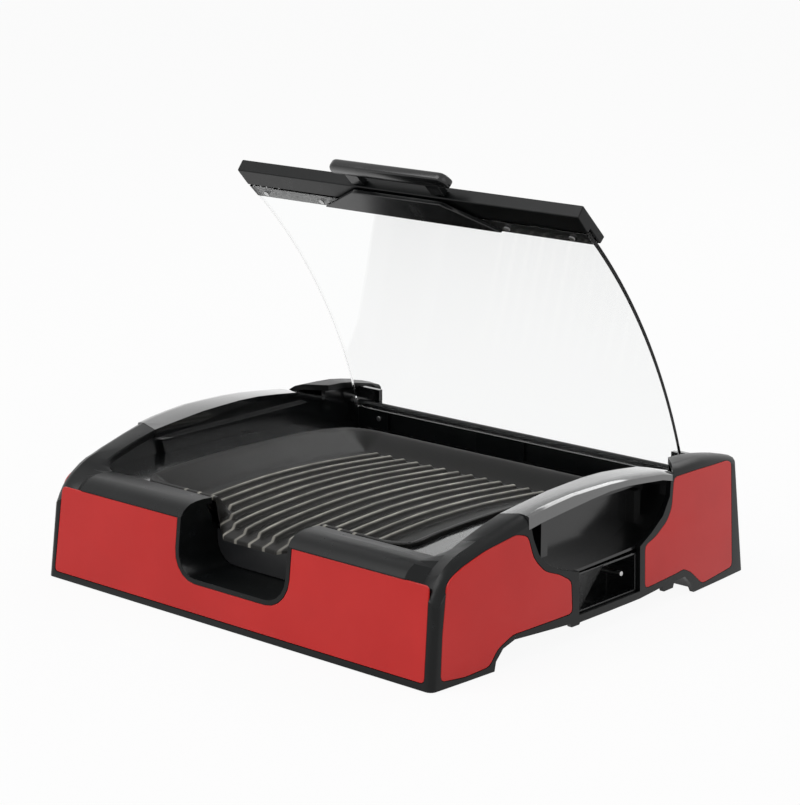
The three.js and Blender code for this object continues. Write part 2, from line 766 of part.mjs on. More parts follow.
// Base housing
function makeHousing() {
  const outer = rimSolid(rimShape, () => 0).intersect(bodySkin);
  const hollow = rimSolid(rimShape, () => rimSkin).intersect(leaningBody(wall));
  let body = outer.subtract(hollow);
  const channel = uPrism(uWall, frontFar, frontNear).intersect(outer)
    .subtract(sidePrism(sideOutline(cheekShares), 1, -sideFar, sideFar));
  body = body.add(channel);
  body = body.subtract(uPrism(0, frontFar, frontNear + overrun));
  body = body.subtract(solid(alongZ(wellPlan, rearWallHeight - overrun, bodyHigh)).subtract(
    solid(block(-sideFar, sideFar, frontFar, frontNear, -overrun, rearWallHeight - overrun / 3)),
  ));
  body = body.subtract(solid(block(
    -rearNotchHalf, rearNotchHalf, wellRear - overrun, halfDepth + overrun, rearWallHeight, bodyHigh,
  )));
  body = body.subtract(solid(block(
    -sideFar, sideFar, frontFar, halfDepth + overrun, bodyLow, footClear,
  )));
  body = body.subtract(solid(alongX(sideOutline(notchShares), -sideFar, sideFar)));
  const panelBack = leaningBody(panelThick + panelSeat);
  sides.forEach(([, side]) => {
    const bridgeSpace = solid(alongZ(grow(bridgePlan(side), seatGap), 0, bodyHigh));
    body = body.subtract(sidePrism(sideOutline(bowlShares), side, wellHalf - rimSkin, sideFar));
    body = body.subtract(sidePrism(tallOutline, side, wellHalf - rimSkin, sideFar).intersect(bridgeSpace));
    const over = bridgeSpace.subtract(bridgeUnder);
    const [i0, i1] = sideSpan(side, wellHalf - overrun, wellHalf);
    const inner = solid(block(i0, i1, bridgeY0, bridgeY1, rearWallHeight, bodyHigh));
    body = body.subtract(over).subtract(inner);
    [sidePanelFrontShares, sidePanelRearShares].forEach((shares) => {
      const seatOutline = grow(sidePanelOutline(shares), panelGap);
      const seat = sidePrism(seatOutline, side, sidePanelNear - panelGap, sideFar);
      body = body.subtract(seat.subtract(panelBack));
    });
  });
  body = body.subtract(sidePrism(
    box2(slotY0, slotY1, socketSlotBottom, bowlShares[6][1] * rimHeight), 1, wellHalf, sideFar,
  ));
  const frontSeat = solid(alongY(grow(frontPanelOutline, panelGap), frontFar, frontNear));
  const beside = uPrism(uPanelGap - panelGap, frontFar, frontNear);
  return body.subtract(frontSeat.subtract(beside).subtract(panelBack));
}

// Coloured panels, as thick as their seats are deep
function makePanels() {
  const sheet = bodySkin.subtract(leaningBody(panelThick));
  const front = solid(alongY(frontPanelOutline, frontFar, frontNear))
    .subtract(uPrism(uPanelGap, frontFar, frontNear));
  addPiece('panel_front', front.intersect(sheet), 'red');
  sides.forEach(([word, side]) => {
    const fore = sidePrism(sidePanelOutline(sidePanelFrontShares), side, sidePanelNear, sideFar);
    addPiece(`panel_${word}_front`, fore.intersect(sheet), 'red');
    const rear = sidePrism(sidePanelOutline(sidePanelRearShares), side, sidePanelNear, sideFar);
    addPiece(`panel_${word}_rear`, rear.intersect(sheet), 'red');
  });
}

// Glossy bridges over the bowls
function makeBridges() {
  const top = rimSolid(bridgeShape, () => 0).intersect(bodySkin);
  const under = rimSolid(bridgeShape, bridgeSkinAt);
  sides.forEach(([word, side]) => {
    const plan = solid(alongZ(bridgePlan(side), 0, bodyHigh));
    addPiece(`rim_bridge_${word}`, top.intersect(plan).subtract(under), 'gloss');
  });
}

// Hand recesses
function makeRecesses() {
  const innerX = recessBack + recessBackThick;
  const mouthX = deckHalf + deckWall + seatGap;
  sides.forEach(([word, side]) => {
    const outside = sidePrism(grow(recessOutline, recessWall), side, recessBack, mouthX + recessWall);
    const inside = sidePrism(recessOutline, side, innerX, sideFar);
    const mouth = sidePrism(grow(tallOutline, recessWall), side, mouthX, sideFar)
      .subtract(sidePrism(tallOutline, side, mouthX + recessWall, sideFar))
      .subtract(inside);
    let shell = outside.subtract(inside).add(mouth);
    [-1, 1].forEach((end) => {
      const y = socketCentre + end * recessRibHalf;
      const [x0, x1] = sideSpan(side, recessBack, innerX + recessRibReach);
      const rib = solid(block(
        x0, x1, y - recessRibWidth / 2, y + recessRibWidth / 2, recessRibBottom, recessRibTop,
      ));
      shell = shell.add(rib.intersect(outside));
    });
    shell = shell.intersect(bodyLining).intersect(bridgeUnder.add(wellColumn));
    addPiece(`hand_recess_${word}`, shell, 'gloss');
  });
}

// Inner deck
function ledgeTop(y) {
  return curveAt(wellEdgeShares, y) - plateSkin - seatGap;
}

function makeDeck() {
  const outerHalf = deckHalf + deckWall;
  const troughEnd = troughFront + deckWall;
  const under = troughFloor - deckSkin;
  const ledgeYs = [deckFront, ...wellEdgeShares.map(([y]) => y * halfDepth)
    .filter((y) => y > deckFront && y < troughFront), troughEnd];
  const ledge = solid(gridBlock(() => [-deckHalf - deckWall / 2, deckHalf + deckWall / 2], ledgeYs,
    (x, y) => ledgeTop(y), (x, y) => ledgeTop(y) - deckSkin));
  const bearing = plateRimWidth - seatGap;
  const opening = solid(alongZ(softened(box2(
    bearing - plateHalf, plateHalf - bearing, plateFront + bearing, plateRear - bearing,
  ), ledgeCorner), 0, bodyHigh));
  const outerPlan = softened(
    box2(-outerHalf, outerHalf, deckFront - deckWall, troughRear + deckWall), wellCorner,
  );
  const innerPlan = softened(box2(-deckHalf, deckHalf, deckFront, troughRear), wellCorner);
  let ring = solid(alongZ(outerPlan, under, bodyHigh))
    .subtract(solid(alongZ(innerPlan, 0, bodyHigh + overrun)));
  const belowLedge = solid(gridBlock(
    () => [-sideFar, sideFar], [frontFar, ...ledgeYs.slice(0, -1), troughFront],
    (x, y) => ledgeTop(y) - deckSkin, () => 0,
  ));
  ring = ring.subtract(belowLedge);
  ring = ring.subtract(solid(block(
    -wellHalf, wellHalf, troughRear - deckWall, halfDepth, troughTop, bodyHigh + overrun,
  )));
  let deck = ring.intersect(rimUnder).add(ledge.subtract(opening));
  deck = deck.add(solid(alongZ(outerPlan, under, troughFloor))
    .intersect(solid(block(-sideFar, sideFar, troughFront, halfDepth, 0, bodyHigh))));
  deck = deck.add(solid(block(
    -deckHalf - deckWall / 2, deckHalf + deckWall / 2, troughFront, troughEnd,
    under, ledgeTop(troughEnd) - deckSkin / 2,
  )));
  deck = deck.subtract(uPrism(uWall + seatGap, frontFar, plateFront + rimBlend));
  sides.forEach(([, side]) => {
    const [t0, t1] = sideSpan(side, tabInner, deckHalf + deckWall / 2);
    deck = deck.add(solid(block(t0, t1, tabFront, tabFront + tabThick, tabBottom, tabTop)));
    const [b0, b1] = sideSpan(side, deckHalf + deckWall / 2, bossOuter);
    deck = deck.add(solid(block(
      b0, b1, lidPivotY - bossHalf, lidPivotY + bossHalf, lidPivotZ - bossHalf, lidPivotZ + bossHalf,
    )));
  });
  deck = deck.intersect(rimUnder.add(wellColumn));
  sides.forEach(([, side]) => {
    deck = deck.subtract(solid(alongZ(grow(bridgePlan(side), seatGap), 0, bodyHigh)).subtract(bridgeUnder));
    const [h0, h1] = sideSpan(side, deckHalf - deckWall, hingePinEnd + seatGap);
    deck = deck.subtract(solid(rodX(hingePinHole, h0, h1, lidPivotY, lidPivotZ)));
    const recess = grow(recessOutline, recessWall + seatGap);
    deck = deck.subtract(sidePrism(recess, side, recessBack - seatGap, bossOuter));
  });
  addPiece('inner_deck', deck, 'gloss');
}

// Socket, terminals and heating element
function makeSocket() {
  const outer = solid(block(
    socketBlockInner, sideFar, slotY0 + 2 * seatGap, slotY1 - 2 * seatGap,
    socketBlockBottom, socketBlockTop,
  )).intersect(leaningBody(socketFaceInset));
  const floorX = socketBlockInner + socketBack;
  let shell = outer.subtract(solid(block(
    floorX, sideFar, socketSlotCentre - socketMouthHalf, socketSlotCentre + socketMouthHalf,
    socketBlockBottom + socketMouthWall, socketBlockTop - socketMouthWall,
  )));
  [['front', -1], ['rear', 1]].forEach(([word, end]) => {
    const y = socketCentre + (end * pinSpacing) / 2;
    const hole = rodX(pinHoleRadius, socketBlockInner - socketBack, floorX + socketBack, y, pinHeight);
    shell = shell.subtract(solid(hole));
    addPiece(`terminal_pin_${word}`, rodX(pinRadius, elementEnd, pinOuter, y, pinHeight), 'steel');
  });
  addPiece('socket_housing', shell, 'gloss');
}

function roundedPath(corners) {
  const path = new THREE.CurvePath();
  let from = new THREE.Vector3(...corners[0]);
  for (let i = 1; i < corners.length - 1; i += 1) {
    const here = new THREE.Vector3(...corners[i]);
    const prev = new THREE.Vector3(...corners[i - 1]);
    const next = new THREE.Vector3(...corners[i + 1]);
    const room = cornerReachShare * Math.min(here.distanceTo(prev), here.distanceTo(next));
    const reach = Math.min(elementBend, room);
    const start = here.clone().add(prev.sub(here).setLength(reach));
    const end = here.clone().add(next.sub(here).setLength(reach));
    path.add(new THREE.LineCurve3(from, start));
    path.add(new THREE.QuadraticBezierCurve3(start, here, end));
    from = end;
  }
  path.add(new THREE.LineCurve3(from, new THREE.Vector3(...corners[corners.length - 1])));
  return path;
}

function makeElement() {
  const y0 = socketCentre - pinSpacing / 2;
  const y1 = socketCentre + pinSpacing / 2;
  const turnX = tubHalf + elementHole * 2;
  const dropX = elementEnd - elementHole * 2;
  const corners = [
    [elementEnd, y0, pinHeight], [dropX, y0, pinHeight], [turnX, y0, elementHeight],
    [elementHalf, y0, elementHeight], [elementHalf, elementFront, elementHeight],
    [-elementHalf, elementFront, elementHeight], [-elementHalf, elementRear, elementHeight],
    [elementHalf, elementRear, elementHeight], [elementHalf, y1, elementHeight],
    [turnX, y1, elementHeight], [dropX, y1, pinHeight], [elementEnd, y1, pinHeight],
  ];
  const ring = [];
  for (let i = 0; i < elementSides; i += 1) {
    const angle = (2 * Math.PI * i) / elementSides;
    ring.push([elementRadius * Math.cos(angle), elementRadius * Math.sin(angle)]);
  }
  const tube = new THREE.ExtrudeGeometry(flatShape(ring), {
    steps: elementSteps, extrudePath: roundedPath(corners), bevelEnabled: false,
  });
  addPiece('heating_element', solid(tube), 'heater');
  const inner = tubHalf - tubWall - seatGap;
  const top = elementHeight - elementRadius - seatGap;
  [['front', -1], ['rear', 1]].forEach(([word, end]) => {
    const y = bracketShift + end * bracketY;
    addPiece(`element_bracket_${word}`, block(
      -inner, inner, y - bracketWidth / 2, y + bracketWidth / 2, top - bracketThick, top,
    ), 'steel');
  });
}

// Reflector tub under the plate, and the drip tray that slides out of it
function makeTub() {
  const outer = softened(box2(-tubHalf, tubHalf, tubFront, tubRear), tubCorner);
  const inner = grow(outer, -tubWall);
  let tub = solid(alongZ(outer, tubFloor, tubTop))
    .subtract(solid(alongZ(inner, tubFloor + tubWall, bodyHigh)));
  const feetX = tubHalf - tubFootInset;
  [-feetX, feetX].forEach((x) => {
    [tubFront + tubFootInset, tubRear - tubFootInset].forEach((y) => {
      tub = tub.add(solid(block(
        x - tubFootHalf, x + tubFootHalf, y - tubFootHalf, y + tubFootHalf,
        coverDeck + coverThick, tubFloor + tubWall,
      )));
    });
    const railX = Math.sign(x) * (uHalf - uCorner - railWidth / 2);
    tub = tub.add(solid(block(
      railX - railWidth / 2, railX + railWidth / 2, tubFront + tubWall / 2, trayRear,
      tubFloor + tubWall / 2, trayBottom - seatGap,
    )));
  });
  const gate = trayHalf + traySideGap;
  tub = tub.subtract(solid(block(
    -gate, gate, tubFront - overrun, tubFront + tubWall, trayBottom - seatGap, trayTop + traySideGap,
  )));
  [-1, 1].forEach((end) => {
    const y = socketCentre + (end * pinSpacing) / 2;
    tub = tub.subtract(solid(block(
      tubHalf - 2 * tubWall, sideFar, y - elementHole, y + elementHole, elementHeight - elementHole, bodyHigh,
    )));
  });
  addPiece('heat_reflector', tub, 'steel');
}

function makeTray() {
  const outer = softened(box2(-trayHalf, trayHalf, trayFront, trayRear), trayCorner);
  const inner = grow(outer, -trayWall);
  const channel = uPrism(-trayGap, frontFar, halfDepth);
  const hollow = solid(alongZ(inner, trayBottom + trayWall, bodyHigh))
    .intersect(uPrism(-trayGap - trayWall, frontFar, halfDepth));
  const tray = solid(alongZ(outer, trayBottom, trayTop)).intersect(channel).subtract(hollow);
  const face = solid(block(
    -sideFar, sideFar, trayFront - trayFaceThick / 2, trayFront + trayFaceThick / 2, 0, trayFaceTop,
  )).intersect(channel);
  addPiece('drip_tray', tray.add(face), 'tray');
}

// Cooking plate with ribs and a pouring lip
function plateFloor(y) {
  const flat = curveAt(ribTopShares, Math.max(y, lipBreak)) - ribHeight;
  const drop = (lipBreak - y) / (lipBreak - lipFront);
  return y < lipBreak ? THREE.MathUtils.lerp(flat, lipTip, drop) : flat;
}

function plateTop(x, y) {
  const across = Math.abs(x);
  const part = (value, from, to) => THREE.MathUtils.clamp((value - from) / (to - from), 0, 1);
  const bySide = part(across, plateFootHalf, plateHalf - plateRimWidth);
  const byRear = part(y, plateFootRear, plateRear - plateRimWidth);
  const open = part(across, lipHalf, lipHalf + lipFade);
  const byFront = open * part(y, plateFootFront, plateFront + plateRimWidth);
  const rise = Math.min(1, Math.hypot(bySide, Math.max(byRear, byFront)));
  return THREE.MathUtils.lerp(plateFloor(y), curveAt(wellEdgeShares, y), rise);
}

// Ribs in the pouring lip run out to its slanting sides, the others stop at the front border.
function ribFront(reach) {
  const slant = THREE.MathUtils.mapLinear(reach, lipTipHalf, lipHalf, lipFront, plateFront);
  return reach < lipHalf + lipFade ? Math.max(ribFrontOpen, slant + ribEndGap) : ribFrontShut;
}

function makePlate() {
  const rim = plateHalf - plateRimWidth;
  const right = [0, lipHalf, lipHalf + lipFade, plateFootHalf, ...plateBorderShares.map(
    (share) => THREE.MathUtils.lerp(plateFootHalf, rim, share),
  ), plateHalf + plateRimWidth];
  const lines = [...right.slice(1).map((x) => -x).reverse(), ...right];
  const middle = ribTopShares.map(([y]) => y * halfDepth)
    .filter((y) => y > plateFootFront && y < plateFootRear);
  const ys = [
    lipFront - plateRimWidth, lipFront, lipBreak, plateFront - plateRimWidth, plateFront,
    ...plateBorderShares.map(
      (share) => THREE.MathUtils.lerp(plateFootFront, plateFront + plateRimWidth, share),
    ), plateFootFront, ...middle, plateFootRear,
    ...plateBorderShares.map(
      (share) => THREE.MathUtils.lerp(plateFootRear, plateRear - plateRimWidth, share),
    ),
    plateRear + plateRimWidth,
  ].sort((a, b) => a - b);
  const sheet = solid(gridBlock(() => lines, ys, plateTop, (x, y) => plateTop(x, y) - plateSkin));
  const plan = solid(alongZ(plateOutline, 0, bodyHigh))
    .add(solid(alongZ([
      [-lipTipHalf, lipFront], [lipTipHalf, lipFront], [lipHalf, plateFront],
      [lipHalf, plateFootFront], [-lipHalf, plateFootFront], [-lipHalf, plateFront],
    ], 0, bodyHigh)));
  let plate = sheet.intersect(plan);
  for (let i = 0; i < ribCount; i += 1) {
    const x = (i - (ribCount - 1) / 2) * ribPitch;
    const front = ribFront(Math.abs(x) + ribBase);
    const inner = ribTopShares.map(([y]) => y * halfDepth)
      .filter((y) => y > front + ribBase && y < ribRear - ribBase);
    const ribYs = [front, front + ribEndRun, ...inner, ribRear - ribEndRun, ribRear];
    const at = [x - ribBase / 2, x - ribCrown / 2, x + ribCrown / 2, x + ribBase / 2];
    const top = (px, y, column) => {
      const full = column === 1 || column === 2;
      const ended = y <= front || y >= ribRear;
      return plateFloor(y) + (full && !ended ? ribHeight : -seatGap);
    };
    plate = plate.add(solid(gridBlock(() => at, ribYs, top, (px, y) => plateFloor(y) - plateSkin / 2)));
  }
  addPiece('grill_plate', plate, 'coating');
}

// Bottom cover, feet and screws
function strip(points, thickness) {
  const upper = points.map(([a, b], i) => {
    const [pa, pb] = points[Math.max(i - 1, 0)];
    const [na, nb] = points[Math.min(i + 1, points.length - 1)];
    const normal = new THREE.Vector2(pb - nb, na - pa).normalize().multiplyScalar(thickness);
    return [a + normal.x, b + normal.y];
  });
  return [...points, ...upper.reverse()];
}

function makeCover() {
  const line = coverShares.map(([y, z]) => [y * halfDepth, THREE.MathUtils.lerp(coverFoot, coverDeck, z)]);
  let cover = solid(alongX(strip(line, coverThick), -sideFar, sideFar)).intersect(bodyLining);
  for (let i = 0; i < ventCount; i += 1) {
    const x = (i - (ventCount - 1) / 2) * ventPitch;
    [-ventRow, ventRow].forEach((y) => {
      cover = cover.subtract(solid(block(
        x - ventWidth / 2, x + ventWidth / 2, y - ventLength / 2, y + ventLength / 2, 0, coverDeck + overrun,
      )));
    });
  }
  addPiece('bottom_cover', cover, 'matte');
  sides.forEach(([word, side]) => {
    addPiece(`foot_front_${word}`, rodZ(footRadius, side * footX, footFront, 0, coverFoot), 'rubber');
    addPiece(`foot_rear_${word}`, rodZ(footRadius, side * footX, footRear, 0, coverFoot), 'rubber');
    [['front', -coverScrewY], ['rear', coverScrewY]].forEach(([end, y]) => {
      const screw = rodZ(coverScrewRadius, side * coverScrewX, y, coverDeck - coverScrewHead, coverDeck);
      addPiece(`cover_screw_${end}_${word}`, screw, 'steel');
    });
  });
}

// Lid, drawn open. From the hinge, T runs along its top strip and N stands square to it.
function lidPoint(t, n) {
  return [lidPivotY + t * slopeY + n * slopeZ, lidPivotZ + t * slopeZ - n * slopeY];
}

function lidOutline(points) {
  return points.map(([t, n]) => lidPoint(t, n));
}

// Plan shape in X and T, thick along N downwards from a level.
function lidPlate(points, top, thickness, bevel) {
  const geometry = new THREE.ExtrudeGeometry(flatShape(points), {
    depth: thickness - 2 * bevel, bevelEnabled: bevel > 0, bevelThickness: bevel, bevelSize: bevel,
    bevelOffset: -bevel, bevelSegments: 2, steps: 1,
  });
  const basis = new THREE.Matrix4().makeBasis(
    new THREE.Vector3(1, 0, 0), new THREE.Vector3(0, slopeY, slopeZ), new THREE.Vector3(0, -slopeZ, slopeY),
  );
  const [y, z] = lidPoint(0, top - bevel);
  return geometry.applyMatrix4(basis).translate(0, y, z);
}

function makeLid() {
  const low = Math.atan2(glassFootZ - glassCentreZ, glassFootY - glassCentreY);
  const high = Math.atan2(glassTipZ - glassCentreZ, glassTipY - glassCentreY);
  const arc = (radius) => {
    const points = [];
    for (let i = 0; i <= glassSteps; i += 1) {
      const angle = THREE.MathUtils.lerp(low, high, i / glassSteps);
      points.push([glassCentreY + radius * Math.cos(angle), glassCentreZ + radius * Math.sin(angle)]);
    }
    return points;
  };
  const pane = [...arc(glassOuterRadius - glassThick), ...arc(glassOuterRadius).reverse()];
  addPiece('lid_glass', alongX(pane, -glassHalf, glassHalf), 'glass');
  addPiece('lid_strip', alongX(lidOutline([
    [stripRear, stripTop], [stripFront, stripTop], [stripLipFront, stripUnderFront],
    [rabbetFront, stripUnder], [rabbetFront, rabbetTop], [stripRear, rabbetTop],
  ]), -stripHalf, stripHalf), 'matte');
  addPiece('lid_grip_block', lidPlate([
    [-blockRearHalf, blockRear], [blockRearHalf, blockRear],
    [blockFrontHalf, blockFront], [-blockFrontHalf, blockFront],
  ], blockTop, blockTop - blockUnder, 0), 'gloss');
  let handle = solid(lidPlate(softened([
    [-handleHalfRear, handleRear], [handleHalfRear, handleRear],
    [handleHalfFront, handleFront], [-handleHalfFront, handleFront],
  ], handleCorner), handleTop, handleTop - handleUnder, handleBevel));
  sides.forEach(([, side]) => {
    const arm = lidOutline(box2(stripFront + seatGap, handleRear + 2 * handleBevel, armUnder, armTop));
    handle = handle.add(sidePrism(arm, side, armInner, armOuter));
  });
  addPiece('lid_handle', handle, 'gloss');

  const front = lidPivotY - hingeRadius;
  const leg = solid(block(
    -hingeBarHalf, hingeBarHalf, front, lidPivotY + hingeRadius, hingeLegBottom, lidPivotZ,
  ));
  const barrel = solid(rodX(hingeRadius, -hingeBarHalf, hingeBarHalf, lidPivotY, lidPivotZ));
  addPiece('lid_hinge_bar', leg.add(barrel), 'matte');
  const plates = [
    ['left', coverPlateLeft, coverPlateLeft + coverPlateNarrow],
    ['middle', coverPlateMidLeft, coverPlateMidRight],
    ['right', -coverPlateLeft - coverPlateNarrow, -coverPlateLeft],
  ];
  plates.forEach(([word, x0, x1]) => {
    addPiece(`hinge_clip_${word}`, block(
      x0, x1, front - coverPlateThick, front, hingeLegBottom + seatGap, coverPlateTop,
    ), 'gloss');
  });
  sides.forEach(([word, side]) => {
    const [p0, p1] = sideSpan(side, hingeBarHalf, hingePinEnd);
    addPiece(`hinge_pin_${word}`, rodX(hingePinRadius, p0, p1, lidPivotY, lidPivotZ), 'steel');
    const head = rodY(barScrewRadius, side * barScrewX, front - screwHead, front, barScrewZ);
    addPiece(`hinge_screw_${word}`, head, 'steel');
    [['inner', stripScrewInner], ['outer', stripScrewOuter]].forEach(([place, x]) => {
      const screw = new THREE.CylinderGeometry(stripScrewRadius, stripScrewRadius, screwHead, roundSteps);
      const [y, z] = lidPoint(stripScrewAt, blockTop - screwHead / 2);
      screw.rotateX(stripAngle - Math.PI / 2).translate(side * x, y, z);
      addPiece(`strip_screw_${place}_${word}`, screw, 'steel');
    });
  });
}

addPiece('base_housing', makeHousing(), 'matte');
makePanels();
makeBridges();
makeRecesses();
makeDeck();
makeSocket();
makeElement();
makeTub();
makeTray();
makePlate();
makeCover();
makeLid();

export default grill;
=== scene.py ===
"""Looks of a table-top electric grill with a hinged curved glass lid.

Metres, +X to the right along the front, +Y to the back, +Z up.
"""
import json
import math

import bmesh
import bpy
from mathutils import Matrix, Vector


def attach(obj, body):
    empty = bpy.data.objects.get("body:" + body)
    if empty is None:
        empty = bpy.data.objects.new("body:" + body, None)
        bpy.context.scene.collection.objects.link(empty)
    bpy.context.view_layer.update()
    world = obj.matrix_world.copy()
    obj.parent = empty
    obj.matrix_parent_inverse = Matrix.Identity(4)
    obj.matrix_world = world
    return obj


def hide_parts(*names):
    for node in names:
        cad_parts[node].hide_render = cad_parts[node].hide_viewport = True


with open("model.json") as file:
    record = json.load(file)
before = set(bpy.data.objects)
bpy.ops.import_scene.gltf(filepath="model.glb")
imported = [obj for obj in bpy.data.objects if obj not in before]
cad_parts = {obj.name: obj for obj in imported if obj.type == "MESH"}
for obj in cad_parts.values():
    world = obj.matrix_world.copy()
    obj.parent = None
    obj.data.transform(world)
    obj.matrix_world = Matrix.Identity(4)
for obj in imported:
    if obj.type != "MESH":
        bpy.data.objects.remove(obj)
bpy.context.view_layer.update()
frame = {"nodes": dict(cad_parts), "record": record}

NODE_BODY = {
    node: body
    for body, nodes in frame["record"]["behaviour"]["bodies"].items()
    for node in nodes
}
NODE_SLOT = {row["node"]: row["material_slot"] for row in frame["record"]["subparts"]}

# Camera

CAMERA_PLACE = (1.31563, -1.47098, 0.63084)
CAMERA_TURN = math.radians(41.742)
CAMERA_DIP = math.radians(13.806)
CAMERA_LENS = 111.21
SENSOR = 36.0


def place_camera():
    data = bpy.data.cameras.new("view")
    data.lens = CAMERA_LENS
    data.sensor_width = SENSOR
    data.sensor_fit = "AUTO"
    camera = bpy.data.objects.new("view", data)
    camera.location = CAMERA_PLACE
    camera.rotation_euler = (math.pi / 2 - CAMERA_DIP, 0.0, CAMERA_TURN)
    bpy.context.collection.objects.link(camera)
    bpy.context.scene.camera = camera


# Shader maths

# Sockets of a Mix node that mixes colours, by their numbers
MIX_FACTOR, MIX_FIRST, MIX_SECOND, MIX_COLOUR = 0, 6, 7, 2

# Upward share of the normal of a steep and of a level surface
STEEP, LEVEL = 0.80, 0.97


class Value:
    """A socket inside a material; arithmetic on it adds Math nodes."""

    def __init__(self, paint, socket):
        self.paint = paint
        self.socket = socket

    def _math(self, operation, first, second):
        return self.paint.node("ShaderNodeMath", {"operation": operation}, {0: first, 1: second})

    def __add__(self, other):
        return self._math("ADD", self, other)

    def __sub__(self, other):
        return self._math("SUBTRACT", self, other)

    def __rsub__(self, other):
        return self._math("SUBTRACT", other, self)

    def __mul__(self, other):
        return self._math("MULTIPLY", self, other)

    __radd__ = __add__
    __rmul__ = __mul__

    def most(self, other):
        """The greater of the two."""
        return self._math("MAXIMUM", self, other)

    def size(self):
        """The number without its sign."""
        return self._math("ABSOLUTE", self, 0.0)

    def phase(self, pitch):
        """Distance to the nearest whole number of pitches."""
        return self._math("PINGPONG", self, pitch / 2.0)

    def between(self, low, high):
        """0 at low and below, 1 at high and above, eased between."""
        settings = {"interpolation_type": "SMOOTHSTEP"}
        return self.paint.node("ShaderNodeMapRange", settings, {0: self, 1: low, 2: high})


class Nodes:
    """A node tree, emptied, and the nodes put in it."""

    def __init__(self, owner):
        owner.use_nodes = True
        self.tree = owner.node_tree
        self.tree.nodes.clear()

    def node(self, kind, settings=None, inputs=None, output=0):
        made = self.tree.nodes.new(kind)
        for key, value in (settings or {}).items():
            setattr(made, key, value)
        for key, value in (inputs or {}).items():
            if isinstance(value, Value):
                self.tree.links.new(value.socket, made.inputs[key])
            else:
                made.inputs[key].default_value = value
        return Value(self, made.outputs[output]) if made.outputs else None

    def parts(self, kind, names, inputs=None):
        """Several outputs of one node."""
        made = self.node(kind, {}, inputs).socket.node
        return [Value(self, made.outputs[name]) for name in names]

    def seen_directly(self):
        """1 for rays from the camera, from a mirror or through glass."""
        rays = ("Is Camera Ray", "Is Glossy Ray", "Is Transmission Ray")
        camera, mirror, through = self.parts("ShaderNodeLightPath", rays)
        return camera.most(mirror).most(through)


class Paint(Nodes):
    """One material, with patterns placed by object coordinates."""

    def __init__(self, name):
        self.material = bpy.data.materials.new(name)
        super().__init__(self.material)
        self.place = self.node("ShaderNodeTexCoord", output="Object")

    def noise(self, size, detail=3.0, roughness=0.5, place=None):
        """Noise whose features are about size metres across."""
        return self.node("ShaderNodeTexNoise", {}, {
            "Vector": place or self.place, "Scale": 1.0 / size, "Detail": detail,
            "Roughness": roughness,
        })

    def speckle(self, size):
        """Distance to the nearest of many specks about size metres apart."""
        return self.node("ShaderNodeTexVoronoi", {}, {"Vector": self.place, "Scale": 1.0 / size})

    def stretched(self, along):
        """Object coordinates squeezed along each axis by these factors."""
        return self.node("ShaderNodeMapping", {}, {"Vector": self.place, "Scale": along})

    def axes(self):
        """Object coordinates as three numbers."""
        return self.parts("ShaderNodeSeparateXYZ", "XYZ", {0: self.place})

    def facing_up(self):
        """1 where the surface is level at rest, 0 where it is steep."""
        normal = self.node("ShaderNodeTexCoord", output="Normal")
        (upward,) = self.parts("ShaderNodeSeparateXYZ", "Z", {0: normal})
        return upward.between(STEEP, LEVEL)

    def mix(self, factor, first, second):
        """First colour at 0, second at 1."""
        first, second = (c if isinstance(c, Value) else (*c, 1.0) for c in (first, second))
        return self.node("ShaderNodeMix", {"data_type": "RGBA"}, {
            MIX_FACTOR: factor, MIX_FIRST: first, MIX_SECOND: second,
        }, output=MIX_COLOUR)

    def bump(self, height, distance, strength):
        inputs = {"Height": height, "Strength": strength, "Distance": distance}
        return self.node("ShaderNodeBump", {}, inputs)

    def finish(self, **values):
        """Joins the shader; an underscore in a name stands for a space."""
        inputs = {}
        for key, value in values.items():
            is_colour = isinstance(value, tuple) and len(value) == 3
            inputs[key.replace("_", " ")] = (*value, 1.0) if is_colour else value
        shader = self.node("ShaderNodeBsdfPrincipled", {}, inputs)
        self.node("ShaderNodeOutputMaterial", {}, {"Surface": shader})
        return self.material


# Cooking plate sizes

PLATE_HALF, PLATE_FRONT, PLATE_REAR, PLATE_CORNER = 0.145, -0.15253, 0.112, 0.020
DISH_HALF, DISH_FRONT, DISH_REAR = 0.112, -0.13603, 0.085
PLATE_LEDGE, PLATE_SKIN, PLATE_ROUND = 0.003, 0.003, 0.0010
LIP_HALF, LIP_TIP_HALF, LIP_FADE = 0.053, 0.0285, 0.004
LIP_FRONT, LIP_BREAK, LIP_TIP = -0.17203, -0.16203, 0.06454
RIB_COUNT, RIB_PITCH, RIB_HEIGHT, RIB_BASE = 13, 0.01535, 0.0038, 0.0066
RIB_FRONT, RIB_REAR, RIB_RUN = -0.13423, 0.080, 0.0030
RIB_LAST = RIB_COUNT // 2
RIB_FIELD = RIB_PITCH * (RIB_COUNT - 1) / 2 + RIB_BASE / 2

# Section of a rib: half width of its crest, and where its flanks run out
RIB_CREST, RIB_FLANK = 0.0009, 0.0036

# Gaps left at the ends of the ribs in the lip
LIP_KINK_GAP, LIP_SIDE_GAP = 0.0006, 0.005

# Share of a soft curve in the slopes around the dish
SLOPE_EASE = 0.3

# Cuts that round each corner, and how far out the faces start that the lip's cuts reach
CORNER_CUTS, LIP_SIDE = 8, 0.02

